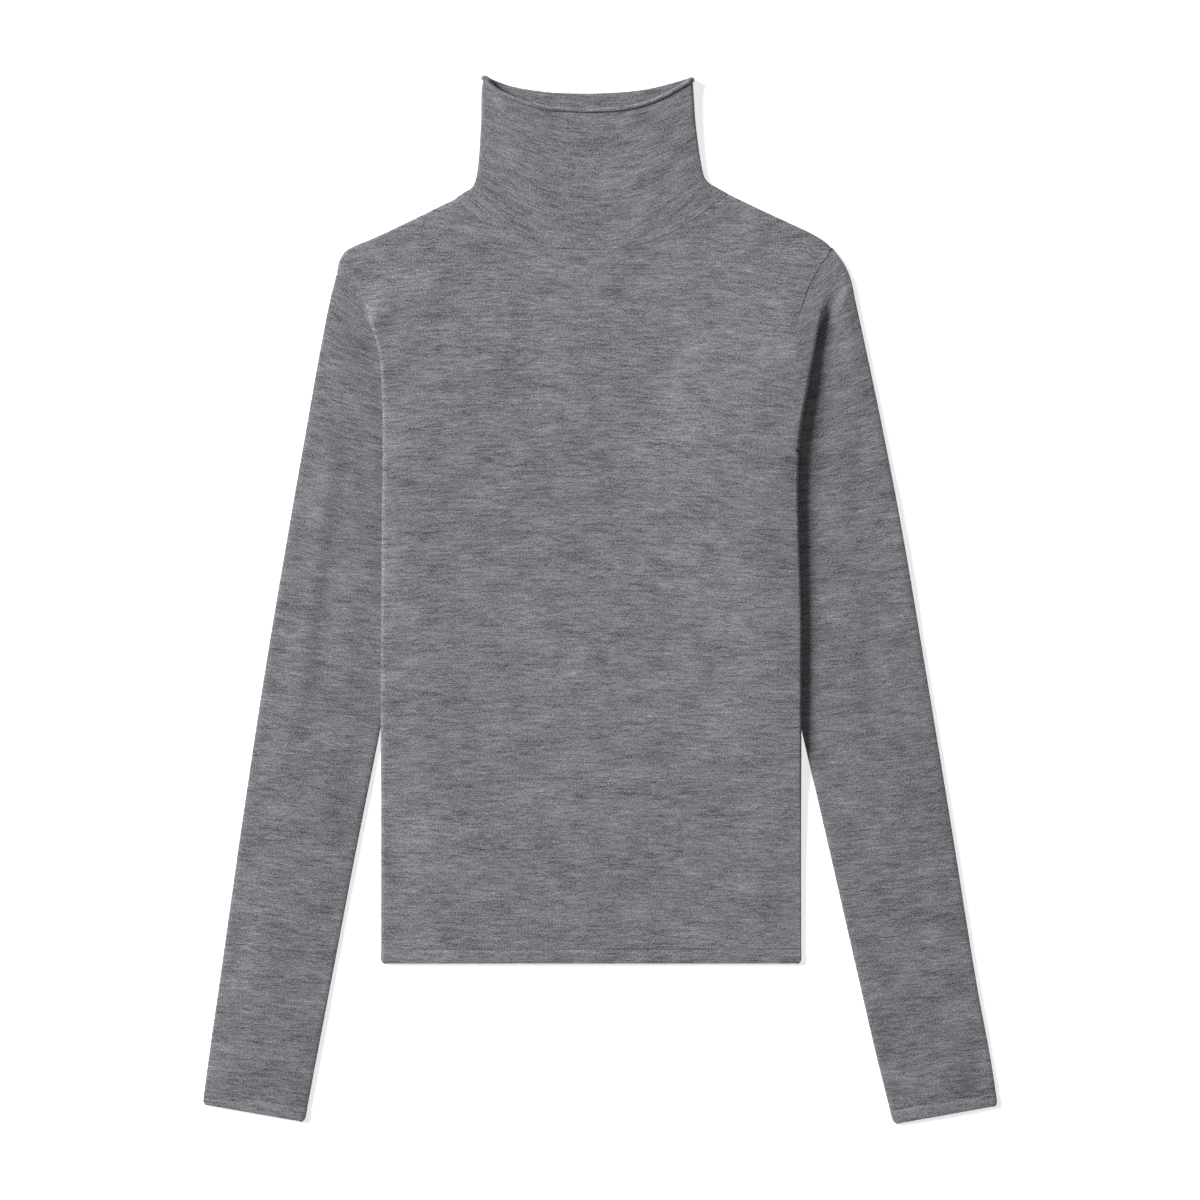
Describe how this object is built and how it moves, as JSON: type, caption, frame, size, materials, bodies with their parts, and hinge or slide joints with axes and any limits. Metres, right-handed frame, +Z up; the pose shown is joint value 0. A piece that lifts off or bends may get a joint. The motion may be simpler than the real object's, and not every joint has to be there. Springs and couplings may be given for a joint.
{
  "type": "turtleneck sweater",
  "caption": "Slim fine-knit sweater with a funnel collar and long sleeves, lying flat on its back with the sleeves beside the body.",
  "frame": {"origin": "centre of the bounding box, on the surface that the sweater lies on", "axes": "+X across the body towards the sleeve with the visible fold, +Y from the hem to the collar, +Z up from the surface"},
  "size_m": [0.6033, 0.7961, 0.01],
  "materials": {
    "grey_melange_jersey": "dull melange knit",
    "grey_melange_band": "dull melange knit, turned band"
  },
  "bodies": {
    "root": {"front": "grey_melange_jersey", "back": "grey_melange_jersey", "sleeve_left": "grey_melange_jersey", "sleeve_right": "grey_melange_jersey", "collar": "grey_melange_jersey", "collar_edge": "grey_melange_band", "cuff_left": "grey_melange_band", "cuff_right": "grey_melange_band", "hem_front": "grey_melange_band", "hem_back": "grey_melange_band"}
  },
  "joints": []
}
